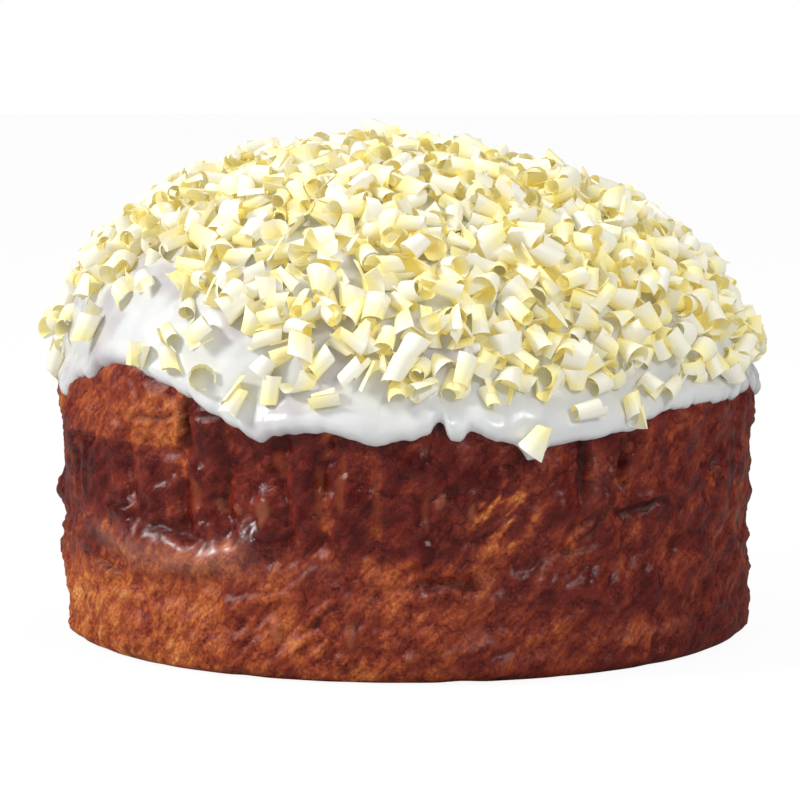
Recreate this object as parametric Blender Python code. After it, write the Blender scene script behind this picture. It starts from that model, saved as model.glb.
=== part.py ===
"""A low, domed panettone with white icing and white chocolate curls.

The loaf is one solid: a flat foot, a rounded bottom edge, an upright side that was baked against a
paper mould, the lip that rose over the mould's rim, and the dome. The icing is a poured cap that lies
on the dome and ends in a wavy, dripping edge. The curls are one heap over the icing, out to its uneven
outline, and the curls that lie apart from it on the bare icing are a solid each.

Bearings run round the loaf: 0 degrees is the front, -Y, and 90 degrees is +X. Travel is the distance
along the loaf's outline, from the top of the dome outwards and then down the side.
"""

import math
import random

import bmesh
import bpy
from mathutils import Matrix, Vector, noise
from mathutils.bvhtree import BVHTree

# The loaf.
FOOT_RADIUS = 0.0987  # where the side leaves the rounded bottom edge
BOTTOM_EDGE = 0.0045  # radius of the bottom edge
MOULD_RADIUS = 0.0997
MOULD_HEIGHT = 0.063  # the paper mould's rim
LIP_SWELL = 0.0017  # how far the dough bulged over that rim
LIP_HEIGHT = 0.071
LIP_WIDTH = 0.007
RIM_PINCH = 0.0008  # the groove that the rim left
SHOULDER_STEP_IN = 0.0030  # how far the dome stands behind the lip
SHOULDER_HEIGHT = 0.078  # where the side becomes the dome
LOAF_HEIGHT = 0.1335
DOME_ROUNDNESS = 2.03  # 2 is an ellipse, and more is squarer
DOME_LEAN = 0.0030  # the dome stands fuller on the left than on the right
LUMP_SIZE = 0.035
LUMP_DEPTH = 0.0018
PLEAT_COUNT = 5.5  # how often the mould's pleats pressed into each quarter of the side
PLEAT_DEPTH = 0.0011

# The icing.
GAP = 0.0004  # between pieces that touch
ICING_THICKNESS = 0.0022
ICING_BEAD = 0.0011  # the edge stands this much thicker
ICING_EDGE_HEIGHT = 0.0725
# Each lobe of the icing's edge: its bearing and half width in degrees, and how far it hangs down.
FRONT_LOBES = (
    (-72, 8, 0.000),
    (-52, 15, -0.010),
    (-23, 8, 0.006),
    (-4, 9, 0.006),
    (18, 9, 0.008),
    (33, 9, 0.006),
    (62, 8, 0.001),
)
BACK_LOBES = 13
BACK_LOBE_DROPS = (-0.004, 0.008)

# The heap of curls.
HEAP_THICKNESS = 0.0080
HEAP_EDGE_THICKNESS = 0.0032
HEAP_ROUGHNESS = 0.0013
# How much icing stays bare between the heap and the icing's edge, at some bearings round the loaf.
BARE_ICING = (
    (-180, 0.016),
    (-125, 0.022),
    (-85, 0.028),
    (-45, 0.031),
    (-25, 0.026),
    (-10, 0.016),
    (10, 0.015),
    (50, 0.015),
    (90, 0.027),
    (135, 0.018),
    (180, 0.016),
)

# The curls that lie apart.
CURL_RADII = (0.0032, 0.0042)
CURL_WIDTHS = (0.0075, 0.0100)
CURL_THICKNESS = 0.0007
CURL_SWEEPS = (210, 310)  # degrees that the strip turns through
CURL_SEGMENTS = 8
CURL_DROP = 0.030  # where a curl comes down from
CURL_TAPER = 0.82  # one end of a roll is this much narrower
# Each loose curl: its bearing, how far it lies above the icing's edge, and how its roll is turned.
FRONT_CURLS = (
    (-84, 0.019, 20),
    (-62, 0.013, 75),
    (-52, 0.022, -35),
    (-46, 0.005, 80),
    (-34, 0.019, 40),
    (-27, 0.006, 70),
    (-12, 0.006, 15),
    (19, 0.004, 65),
    (28, 0.006, 10),
    (37, 0.005, 85),
    (46, 0.006, 30),
    (60, 0.007, -50),
)
BACK_CURLS = 12
BACK_CURL_SHIFT = 5  # degrees either way from an even spread

# How finely the faceted solids are cut.
STEPS_ROUND = 80
TOP_ROWS = (0.018, 0.036, 0.052, 0.067)  # travel to the rows that the heap covers all the way round
HEAP_EDGE_ROWS = 2
ICING_EDGE_ROWS = 4
SIDE_ROW_HEIGHTS = (0.0600, 0.0520, 0.0430, 0.0340, 0.0250, 0.0150)
FOOT_ROWS = 3
OUTLINE_STEP = 0.0005

COLOURS = {
    "browned crust": ((0.150, 0.036, 0.022), 0.45),
    "white icing": ((0.800, 0.800, 0.770), 0.30),
    "white chocolate": ((0.870, 0.830, 0.600), 0.45),
}


def clear_scene():
    for thing in list(bpy.data.objects):
        bpy.data.objects.remove(thing, do_unlink=True)


def material(name):
    colour, roughness = COLOURS[name]
    made = bpy.data.materials.get(name) or bpy.data.materials.new(name)
    made.use_nodes = True
    shader = made.node_tree.nodes["Principled BSDF"]
    shader.inputs["Base Color"].default_value = (*colour, 1)
    shader.inputs["Roughness"].default_value = roughness
    shader.inputs["Metallic"].default_value = 0
    return made


def finish_object(name, mesh, finish):
    """Makes the object for one solid, with its faces outwards and its creases kept sharp."""
    bmesh.ops.recalc_face_normals(mesh, faces=mesh.faces)
    data = bpy.data.meshes.new(name)
    mesh.to_mesh(data)
    mesh.free()
    data.materials.append(material(finish))
    data.shade_smooth()
    data.set_sharp_from_angle(angle=math.radians(50))
    made = bpy.data.objects.new(name, data)
    bpy.context.scene.collection.objects.link(made)
    return made


def bump(value, centre, width):
    """A smooth hump of height 1 at centre."""
    return math.exp(-(((value - centre) / width) ** 2))


def fade(value, start, end):
    """0 up to start, 1 from end, and smooth between."""
    share = min(max((value - start) / (end - start), 0), 1)
    return share * share * (3 - 2 * share)


def side_radius(height):
    share = (height - BOTTOM_EDGE) / (MOULD_HEIGHT - BOTTOM_EDGE)
    radius = FOOT_RADIUS + (MOULD_RADIUS - FOOT_RADIUS) * min(share, 1) ** 0.5
    radius += LIP_SWELL * bump(height, LIP_HEIGHT, LIP_WIDTH)
    radius -= SHOULDER_STEP_IN * fade(height, LIP_HEIGHT, SHOULDER_HEIGHT)
    return radius - RIM_PINCH * bump(height, MOULD_HEIGHT, LIP_WIDTH / 3)


def make_outline():
    """The loaf's half outline as (travel, radius, height), from the dome's top to the foot's flat."""
    points = []
    turns = 120
    power = 2 / DOME_ROUNDNESS
    shoulder = side_radius(SHOULDER_HEIGHT)
    for step in range(turns + 1):
        angle = math.pi / 2 * step / turns
        height = SHOULDER_HEIGHT + (LOAF_HEIGHT - SHOULDER_HEIGHT) * max(math.cos(angle), 0) ** power
        points.append((shoulder * math.sin(angle) ** power, height))
    count = round((SHOULDER_HEIGHT - BOTTOM_EDGE) / OUTLINE_STEP)
    for step in range(1, count + 1):
        height = SHOULDER_HEIGHT + (BOTTOM_EDGE - SHOULDER_HEIGHT) * step / count
        points.append((side_radius(height), height))
    for step in range(1, 13):
        angle = math.pi / 2 * step / 12
        radius = FOOT_RADIUS - BOTTOM_EDGE * (1 - math.cos(angle))
        points.append((radius, BOTTOM_EDGE * (1 - math.sin(angle))))
    outline = [(0.0, *points[0])]
    for point in points[1:]:
        travel = outline[-1][0] + math.dist(point, outline[-1][1:])
        outline.append((travel, *point))
    return outline


OUTLINE = make_outline()
FOOT_TRAVEL = OUTLINE[-1][0]
SIDE_END_TRAVEL = FOOT_TRAVEL - BOTTOM_EDGE * math.pi / 2


def outline_at(travel):
    """Radius and height after this travel."""
    low, high = 0, len(OUTLINE) - 1
    while high - low > 1:
        middle = (low + high) // 2
        if OUTLINE[middle][0] <= travel:
            low = middle
        else:
            high = middle
    start, end = OUTLINE[low], OUTLINE[high]
    share = (travel - start[0]) / (end[0] - start[0])
    return tuple(a + (b - a) * share for a, b in zip(start[1:], end[1:], strict=True))


def travel_at_height(height):
    return min((abs(point[2] - height), point[0]) for point in OUTLINE)[1]


SHOULDER_TRAVEL = travel_at_height(SHOULDER_HEIGHT)


def relief(bearing, travel):
    """How far the loaf's skin stands out of its even outline: lumps, pleats and the dome's lean."""
    radius, height = outline_at(travel)
    place = Vector((radius * math.sin(bearing), -radius * math.cos(bearing), height))
    on_side = fade(travel, SHOULDER_TRAVEL - 0.010, SHOULDER_TRAVEL + 0.010)
    off_foot = 1 - fade(travel, SIDE_END_TRAVEL, FOOT_TRAVEL)
    lumps = LUMP_DEPTH * noise.noise(place / LUMP_SIZE)
    around = Vector((math.sin(bearing), -math.cos(bearing), 0)) * PLEAT_COUNT
    pleats = PLEAT_DEPTH * noise.noise(around + Vector((0, 0, height / LUMP_SIZE)))
    on_dome = math.sin(math.pi * min(travel / SHOULDER_TRAVEL, 1))
    lean = -DOME_LEAN * math.sin(bearing) * on_dome
    return (lumps + pleats * on_side) * off_foot + lean


def skin_point(bearing, travel, lift=0.0):
    """A point this far above the loaf's skin."""
    radius, height = outline_at(travel)
    before, after = outline_at(max(travel - 0.001, 0)), outline_at(min(travel + 0.001, FOOT_TRAVEL))
    out = Vector((before[1] - after[1], after[0] - before[0])).normalized()
    if travel == 0:
        out = Vector((0, 1))
    stand = relief(bearing, travel) + lift
    radius += out.x * stand
    return Vector((radius * math.sin(bearing), -radius * math.cos(bearing), height + out.y * stand))


def skin_normal(bearing, travel):
    small = 0.002
    east = skin_point(bearing + small / 0.09, travel) - skin_point(bearing - small / 0.09, travel)
    down = skin_point(bearing, travel + small) - skin_point(bearing, max(travel - small, 0.0))
    return down.cross(east).normalized()


def bearings():
    return [2 * math.pi * step / STEPS_ROUND for step in range(STEPS_ROUND)]


def ring(mesh, points):
    return [mesh.verts.new(point) for point in points]


def join_rings(mesh, first, second):
    """A band of four-sided faces between two rings of the same count."""
    for here in range(len(first)):
        following = (here + 1) % len(first)
        mesh.faces.new((first[here], first[following], second[following], second[here]))


def close_ring(mesh, loop, point):
    """A fan of triangles from a ring to one point."""
    centre = mesh.verts.new(point)
    for here in range(len(loop)):
        mesh.faces.new((loop[here], loop[(here + 1) % len(loop)], centre))


def make_lobes():
    """The lobes of the icing's edge, in radians: those of the front, and others round the back."""
    dice = random.Random(7)
    lobes = list(FRONT_LOBES)
    for number in range(BACK_LOBES):
        bearing = 80 + (360 - 170) * (number + dice.uniform(0.2, 0.8)) / BACK_LOBES
        lobes.append((bearing, dice.uniform(5, 11), dice.uniform(*BACK_LOBE_DROPS)))
    return [(math.radians(bearing), math.radians(width), drop) for bearing, width, drop in lobes]


LOBES = make_lobes()


def turn_between(first, second):
    """The smaller angle between two bearings."""
    return abs((first - second + math.pi) % (2 * math.pi) - math.pi)


def icing_reach(bearing):
    """The travel at which the icing ends."""
    drops = sum(drop * bump(turn_between(bearing, at), 0, width) for at, width, drop in LOBES)
    return travel_at_height(ICING_EDGE_HEIGHT - drops)


def bare_icing(bearing):
    """How much icing shows below the heap at this bearing."""
    degrees = (math.degrees(bearing) + 180) % 360 - 180
    for (start, first), (end, second) in zip(BARE_ICING, BARE_ICING[1:], strict=False):
        if degrees <= end:
            return first + (second - first) * fade(degrees, start, end)
    return BARE_ICING[-1][1]


def spread(start, end, count):
    """This many even steps after start, the last of them at end."""
    return [start + (end - start) * step / count for step in range(1, count + 1)]


def make_column(bearing, dice):
    """The travel to each row at one bearing. Every layer shares the rows, so that no face of one cuts
    into the next: the heap uses them as far as its own edge, the icing as far as its edge, the loaf all."""
    reach = icing_reach(bearing)
    heap_reach = reach - bare_icing(bearing) + dice.uniform(-0.002, 0.002)
    rows = [*TOP_ROWS, *spread(TOP_ROWS[-1], heap_reach, HEAP_EDGE_ROWS)]
    rows += spread(heap_reach, reach, ICING_EDGE_ROWS)
    side = [travel_at_height(height) for height in SIDE_ROW_HEIGHTS]
    rows += [(reach + side[0]) / 2, *side, *spread(SIDE_END_TRAVEL - 0.003, FOOT_TRAVEL, FOOT_ROWS)]
    return rows


def make_columns():
    dice = random.Random(3)
    return [make_column(bearing, dice) for bearing in bearings()]


COLUMNS = make_columns()
HEAP_ROWS = len(TOP_ROWS) + HEAP_EDGE_ROWS
ICING_ROWS = HEAP_ROWS + ICING_EDGE_ROWS


def make_loaf():
    mesh = bmesh.new()
    rings = []
    for row in range(len(COLUMNS[0])):
        travels = [column[row] for column in COLUMNS]
        rings.append(ring(mesh, [skin_point(b, t) for b, t in zip(bearings(), travels, strict=True)]))
    for upper, lower in zip(rings, rings[1:], strict=False):
        join_rings(mesh, upper, lower)
    close_ring(mesh, rings[0], skin_point(0, 0))
    bmesh.ops.contextual_create(mesh, geom=rings[-1])
    return finish_object("loaf", mesh, "browned crust")


def icing_thickness(row):
    """The icing is even under the heap, swells into a bead, and thins to its very edge."""
    if row == ICING_ROWS - 1:
        return ICING_THICKNESS * 0.35
    return ICING_THICKNESS + ICING_BEAD * fade(row, HEAP_ROWS - 1, ICING_ROWS - 2)


def heap_thickness(row, dice):
    """The heap is highest in the middle, and as uneven as the curls that it holds."""
    share = row / (HEAP_ROWS - 1)
    thickness = HEAP_THICKNESS + (HEAP_EDGE_THICKNESS - HEAP_THICKNESS) * share
    return thickness + dice.uniform(-1, 1) * HEAP_ROUGHNESS * (row > 0)


def make_layer(name, finish, base, rows, thickness):
    """A closed cap over this many of the rows, lying this far above the skin."""
    mesh = bmesh.new()
    outer, inner = [], []
    for row in range(rows):
        tops, bottoms = [], []
        for bearing, column in zip(bearings(), COLUMNS, strict=True):
            tops.append(skin_point(bearing, column[row], base + thickness(row)))
            bottoms.append(skin_point(bearing, column[row], base))
        outer.append(ring(mesh, tops))
        inner.append(ring(mesh, bottoms))
    for rings in (outer, inner):
        for upper, lower in zip(rings, rings[1:], strict=False):
            join_rings(mesh, upper, lower)
    join_rings(mesh, outer[-1], inner[-1])
    close_ring(mesh, outer[0], skin_point(0, 0, base + thickness(0)))
    close_ring(mesh, inner[0], skin_point(0, 0, base))
    return finish_object(name, mesh, finish)


def make_icing():
    return make_layer("icing", "white icing", GAP, ICING_ROWS, icing_thickness)


def make_heap():
    dice = random.Random(9)
    base = GAP + ICING_THICKNESS + GAP
    return make_layer("curl_heap", "white chocolate", base, HEAP_ROWS, lambda row: heap_thickness(row, dice))


def rolled_strip(dice):
    """One curl about the Z axis: a thin strip, pushed round into a roll that winds in and tapers."""
    radius, width = dice.uniform(*CURL_RADII), dice.uniform(*CURL_WIDTHS)
    mesh = bmesh.new()
    ends = [
        mesh.verts.new((radius * size, 0, width * side)) for size, side in ((CURL_TAPER, -0.5), (1, 0.5))
    ]
    edge = mesh.edges.new(ends)
    bmesh.ops.spin(
        mesh,
        geom=[*ends, edge],
        cent=(0, 0, 0),
        axis=(0, 0, 1),
        angle=math.radians(dice.uniform(*CURL_SWEEPS)),
        steps=CURL_SEGMENTS,
    )
    for vertex in mesh.verts:
        turned = math.atan2(vertex.co.y, vertex.co.x) % (2 * math.pi)
        winding = 1 - 0.2 * turned / (2 * math.pi)
        vertex.co = Vector((vertex.co.x * winding, vertex.co.y * winding, vertex.co.z))
    bmesh.ops.recalc_face_normals(mesh, faces=mesh.faces)
    bmesh.ops.solidify(mesh, geom=mesh.faces[:], thickness=CURL_THICKNESS)
    return mesh


def lay_curl(name, mesh, bearing, travel, yaw, roll, ground):
    """Turns a curl as it lies, and drops it along the skin's normal until it is just clear."""
    up = skin_normal(bearing, travel)
    along = up.cross(Vector((0, 0, 1))).normalized()
    axis = Matrix.Rotation(yaw, 3, up) @ along
    turned = Matrix((up.cross(axis), up, axis)).transposed() @ Matrix.Rotation(roll, 3, "Z")
    place = Matrix.Translation(skin_point(bearing, travel)) @ turned.to_4x4()
    bmesh.ops.transform(mesh, matrix=place, verts=mesh.verts)
    ends = [[vertex.co for vertex in edge.verts] for edge in mesh.edges]
    probes = [start.lerp(end, step / 8) for start, end in ends for step in range(9)]
    lifts = []
    for probe in probes:
        hit = ground.ray_cast(probe + up * CURL_DROP, -up)[0]
        if hit is not None:
            lifts.append((hit - probe).dot(up))
    bmesh.ops.translate(mesh, vec=up * (max(lifts) + GAP), verts=mesh.verts)
    return finish_object(name, mesh, "white chocolate")


def curl_places():
    dice = random.Random(11)
    places = [(math.radians(b), above, math.radians(yaw)) for b, above, yaw in FRONT_CURLS]
    for number in range(BACK_CURLS):
        even = 80 + (360 - 175) * (number + 0.5) / BACK_CURLS
        bearing = math.radians(even + dice.uniform(-1, 1) * BACK_CURL_SHIFT)
        above = 0.004 + 0.012 * abs(math.sin(bearing)) ** 3 + dice.uniform(0, 0.003)
        places.append((bearing, above, dice.uniform(0, math.pi)))
    return places


def surface_of(parts):
    """The surface of several parts together, for finding what lies below a point."""
    points, faces = [], []
    for part in parts:
        first = len(points)
        points += [vertex.co for vertex in part.data.vertices]
        faces += [[first + corner for corner in face.vertices] for face in part.data.polygons]
    return BVHTree.FromPolygons(points, faces)


def make_loose_curls(ground):
    dice = random.Random(5)
    for number, (bearing, above, yaw) in enumerate(curl_places(), start=1):
        travel = icing_reach(bearing) - above
        roll = dice.uniform(0, 2 * math.pi)
        lay_curl(f"curl_{number:02d}", rolled_strip(dice), bearing, travel, yaw, roll, ground)


def centre_on_origin():
    """Moves everything so that the origin is the centre of the whole object's foot."""
    parts = bpy.context.scene.collection.objects
    corners = [vertex.co for part in parts for vertex in part.data.vertices]
    middle = [(min(c[k] for c in corners) + max(c[k] for c in corners)) / 2 for k in (0, 1)]
    for part in parts:
        part.data.transform(Matrix.Translation((-middle[0], -middle[1], 0)))


def main():
    clear_scene()
    loaf = make_loaf()
    icing = make_icing()
    make_heap()
    make_loose_curls(surface_of([loaf, icing]))
    centre_on_origin()


main()
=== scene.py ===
# %% [markdown]
# # A panettone with white icing and white chocolate curls
#
# This lesson dresses a plain model of a low panettone. The plain model, the frame, has the right sizes:
# a loaf, a cap of icing, one heap that stands for hundreds of curls, and a few loose curls. Each step
# makes one of these as a baker would see it, in the same place and at the same size.

# %% Load the frame
import math
import random

import bmesh
import bpy
import numpy as np
from mathutils import Matrix, Vector, noise
from mathutils.bvhtree import BVHTree


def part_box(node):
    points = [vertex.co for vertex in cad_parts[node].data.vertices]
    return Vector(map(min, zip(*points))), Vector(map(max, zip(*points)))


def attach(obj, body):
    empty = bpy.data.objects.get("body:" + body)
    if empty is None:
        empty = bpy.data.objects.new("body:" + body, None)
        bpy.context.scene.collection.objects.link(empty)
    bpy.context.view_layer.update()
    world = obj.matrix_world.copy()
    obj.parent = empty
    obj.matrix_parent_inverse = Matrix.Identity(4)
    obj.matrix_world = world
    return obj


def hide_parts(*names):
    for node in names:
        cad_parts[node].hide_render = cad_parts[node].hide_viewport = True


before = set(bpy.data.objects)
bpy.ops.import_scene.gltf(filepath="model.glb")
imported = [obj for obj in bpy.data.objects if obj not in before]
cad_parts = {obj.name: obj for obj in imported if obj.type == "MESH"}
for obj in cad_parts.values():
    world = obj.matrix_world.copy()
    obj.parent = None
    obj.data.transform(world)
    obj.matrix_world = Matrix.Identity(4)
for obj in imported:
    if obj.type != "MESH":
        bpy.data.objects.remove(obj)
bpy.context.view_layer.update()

MM = 0.001
print("frame:", sorted(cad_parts))

# %% [markdown]
# ## Finding places on the loaf
#
# The frame's loaf is cut into flat faces, and a real crust has none. Merging its loose triangles and
# running Subdivision Surface over the result gives a smooth loaf of the same shape. Rays from a point
# inside it, the core, then find the skin in any direction. A direction is a bearing, 0 at the front and
# positive towards +X, and a polar angle, 0 straight up.


# %% A smooth copy of the loaf, and rays to its skin
def welded_copy(node):
    """A frame node's mesh with its loose triangles merged into four-sided faces."""
    mesh = bmesh.new()
    mesh.from_mesh(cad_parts[node].data)
    bmesh.ops.remove_doubles(mesh, verts=mesh.verts, dist=0.01 * MM)
    bmesh.ops.join_triangles(
        mesh,
        faces=mesh.faces,
        angle_face_threshold=math.radians(40),
        angle_shape_threshold=math.radians(60),
    )
    return mesh


def smooth_tree(node, levels):
    """A tree for rays, over a smoothed copy of the node."""
    welded = welded_copy(node)
    data = bpy.data.meshes.new("smoothing")
    welded.to_mesh(data)
    welded.free()
    rough = bpy.data.objects.new("smoothing", data)
    bpy.context.scene.collection.objects.link(rough)
    rough.modifiers.new("round", "SUBSURF").levels = levels
    smooth = bmesh.new()
    smooth.from_object(rough, bpy.context.evaluated_depsgraph_get())
    tree = BVHTree.FromBMesh(smooth)
    print("smoothed", node, len(smooth.faces), "faces")
    smooth.free()
    bpy.data.objects.remove(rough)
    bpy.data.meshes.remove(data)
    return tree


LOAF_LOW, LOAF_HIGH = (Vector(corner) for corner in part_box("loaf"))
CORE = Vector(((LOAF_LOW.x + LOAF_HIGH.x) / 2, (LOAF_LOW.y + LOAF_HIGH.y) / 2, 35 * MM))
SKIN_RADIUS = (LOAF_HIGH.x - LOAF_LOW.x) / 2
LOAF_TREE = smooth_tree("loaf", 2)


def direction(bearing, polar):
    return Vector(
        (
            math.sin(bearing) * math.sin(polar),
            -math.cos(bearing) * math.sin(polar),
            math.cos(polar),
        )
    )


def skin(bearing, polar):
    """The place and the normal of the smooth loaf in this direction from the core."""
    place, normal, _, _ = LOAF_TREE.ray_cast(CORE, direction(bearing, polar))
    return place, normal


def bearing_of(place):
    return math.atan2(place.x - CORE.x, -(place.y - CORE.y))


def polar_of(place):
    away = place - CORE
    return math.atan2(math.hypot(away.x, away.y), away.z)


# %% Small helpers for soft shapes and random fields
def fade(value, start, end):
    """0 up to start, 1 from end, and smooth between. It takes numbers or arrays."""
    share = np.clip((value - start) / (end - start), 0, 1)
    return share * share * (3 - 2 * share)


def hump(value, centre, width):
    return np.exp(-(((value - centre) / width) ** 2))


def random_field(points, size, octaves=3, shift=0.0):
    """A smooth random value about 0 at each point, in lumps about this many metres across."""
    moved = Vector((shift, -shift, shift / 2))
    return np.array([noise.fractal(Vector(p) / size + moved, 1.0, 2.0, octaves) for p in points])


def finish_piece(name, mesh, material, sharp=None):
    """Makes the object for a piece, which rides on the frame's only body."""
    data = bpy.data.meshes.new(name)
    mesh.to_mesh(data)
    mesh.free()
    data.shade_smooth()
    if sharp is not None:
        data.set_sharp_from_angle(angle=math.radians(sharp))
    data.materials.append(material)
    piece = bpy.data.objects.new(name, data)
    bpy.context.scene.collection.objects.link(piece)
    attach(piece, "root")
    print(name, len(data.polygons), "faces")
    return piece


def set_values(piece, name, values):
    """Stores one number, or one vector, for each point of the piece's mesh."""
    values = np.asarray(values, dtype=np.float32)
    kind, key = ("FLOAT", "value") if values.ndim == 1 else ("FLOAT_VECTOR", "vector")
    layer = piece.data.attributes.new(name, kind, "POINT")
    layer.data.foreach_set(key, values.ravel())


# %% [markdown]
# ## Materials
#
# All three finishes are food, so none is one flat colour. A shared group gives each of them soft
# mottling from two sizes of noise, and the shaders stay in the materials. The crust's colour follows how
# hard each spot was baked, with painted light and shade on its relief mixed in. The mesh stores both, so
# the colour and the relief agree.


# %% Helpers for shader nodes
def new_material(name):
    made = bpy.data.materials.new(name)
    made.use_nodes = True
    return made, made.node_tree, made.node_tree.nodes["Principled BSDF"]


def add_node(tree, kind, **settings):
    node = tree.nodes.new(kind)
    for key, value in settings.items():
        setattr(node, key, value)
    return node


def feed(tree, socket, source):
    """Links a source to a socket, or sets the socket where the source is a plain value."""
    if isinstance(source, bpy.types.NodeSocket):
        tree.links.new(source, socket)
    else:
        socket.default_value = source


def stored(tree, name, output="Fac"):
    return add_node(tree, "ShaderNodeAttribute", attribute_name=name).outputs[output]


def maths(tree, operation, first, second=0.0, third=0.0):
    node = add_node(tree, "ShaderNodeMath", operation=operation)
    for socket, source in zip(node.inputs, (first, second, third), strict=True):
        feed(tree, socket, source)
    return node.outputs[0]


def noise_at(tree, vector, scale, detail=3.0, roughness=0.6):
    node = add_node(tree, "ShaderNodeTexNoise")
    feed(tree, node.inputs["Vector"], vector)
    feed(tree, node.inputs["Scale"], scale)
    feed(tree, node.inputs["Detail"], detail)
    feed(tree, node.inputs["Roughness"], roughness)
    return node.outputs["Fac"]


def blend_colours(tree, share, first, second):
    node = add_node(tree, "ShaderNodeMix", data_type="RGBA")
    feed(tree, node.inputs["Factor"], share)
    for name, source in (("A", first), ("B", second)):
        socket = next(s for s in node.inputs if s.name == name and s.type == "RGBA")
        feed(tree, socket, source)
    return next(s for s in node.outputs if s.type == "RGBA")


def ramp(tree, share, stops):
    """A colour ramp through (position, colour) stops."""
    node = add_node(tree, "ShaderNodeValToRGB")
    elements = node.color_ramp.elements
    elements.remove(elements[1])
    elements[0].position, elements[0].color = stops[0][0], (*stops[0][1], 1)
    for position, colour in stops[1:]:
        elements.new(position).color = (*colour, 1)
    feed(tree, node.inputs[0], share)
    return node.outputs[0]


def bump_into(tree, shader, height, distance, strength=1.0):
    node = add_node(tree, "ShaderNodeBump")
    feed(tree, node.inputs["Height"], height)
    node.inputs["Distance"].default_value = distance
    node.inputs["Strength"].default_value = strength
    tree.links.new(node.outputs[0], shader.inputs["Normal"])


# %% The shared mottling group
def make_mottle():
    group = bpy.data.node_groups.new("mottle", "ShaderNodeTree")
    group.interface.new_socket("Place", in_out="INPUT", socket_type="NodeSocketVector")
    for name in ("Fine scale", "Broad scale"):
        group.interface.new_socket(name, in_out="INPUT", socket_type="NodeSocketFloat")
    for name in ("Fine", "Broad"):
        group.interface.new_socket(name, in_out="OUTPUT", socket_type="NodeSocketFloat")
    start = group.nodes.new("NodeGroupInput")
    end = group.nodes.new("NodeGroupOutput")
    fine = noise_at(group, start.outputs["Place"], start.outputs["Fine scale"], 4.0, 0.65)
    broad = noise_at(group, start.outputs["Place"], start.outputs["Broad scale"], 3.0, 0.55)
    group.links.new(fine, end.inputs["Fine"])
    group.links.new(broad, end.inputs["Broad"])
    return group


MOTTLE = make_mottle()


def mottled(tree, fine_scale, broad_scale, place=None):
    node = add_node(tree, "ShaderNodeGroup", node_tree=MOTTLE)
    if place is None:
        place = add_node(tree, "ShaderNodeTexCoord").outputs["Object"]
    tree.links.new(place, node.inputs["Place"])
    node.inputs["Fine scale"].default_value = fine_scale
    node.inputs["Broad scale"].default_value = broad_scale
    return node.outputs["Fine"], node.outputs["Broad"]


# %% [markdown]
# The crust of a rich, yeasted loaf is glossy with butter and egg. Hard baked it is nearly black with a
# red cast, and from there it runs through mahogany and red brown to the orange brown and tan of torn
# crumb. One colour ramp holds that row of colours. The mesh stores how hard each spot was baked, with
# painted light and shade from the small relief mixed in, and fine noise, stretched along the fibres,
# spreads each spot over its neighbours on the ramp. Creases and folds are painted nearly black, as
# painted shade.


# %% The crust's material
CRUST_STOPS = (
    (0.00, (0.045, 0.003, 0.003)),
    (0.16, (0.085, 0.007, 0.005)),
    (0.32, (0.165, 0.017, 0.009)),
    (0.47, (0.290, 0.044, 0.012)),
    (0.62, (0.460, 0.100, 0.020)),
    (0.78, (0.610, 0.185, 0.034)),
    (0.95, (0.790, 0.350, 0.110)),
)


def lifted(tree, tone, value, width):
    """The tone, raised where the value is over a half and lowered where it is under."""
    return maths(tree, "MULTIPLY_ADD", maths(tree, "SUBTRACT", value, 0.5), width, tone)


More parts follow.
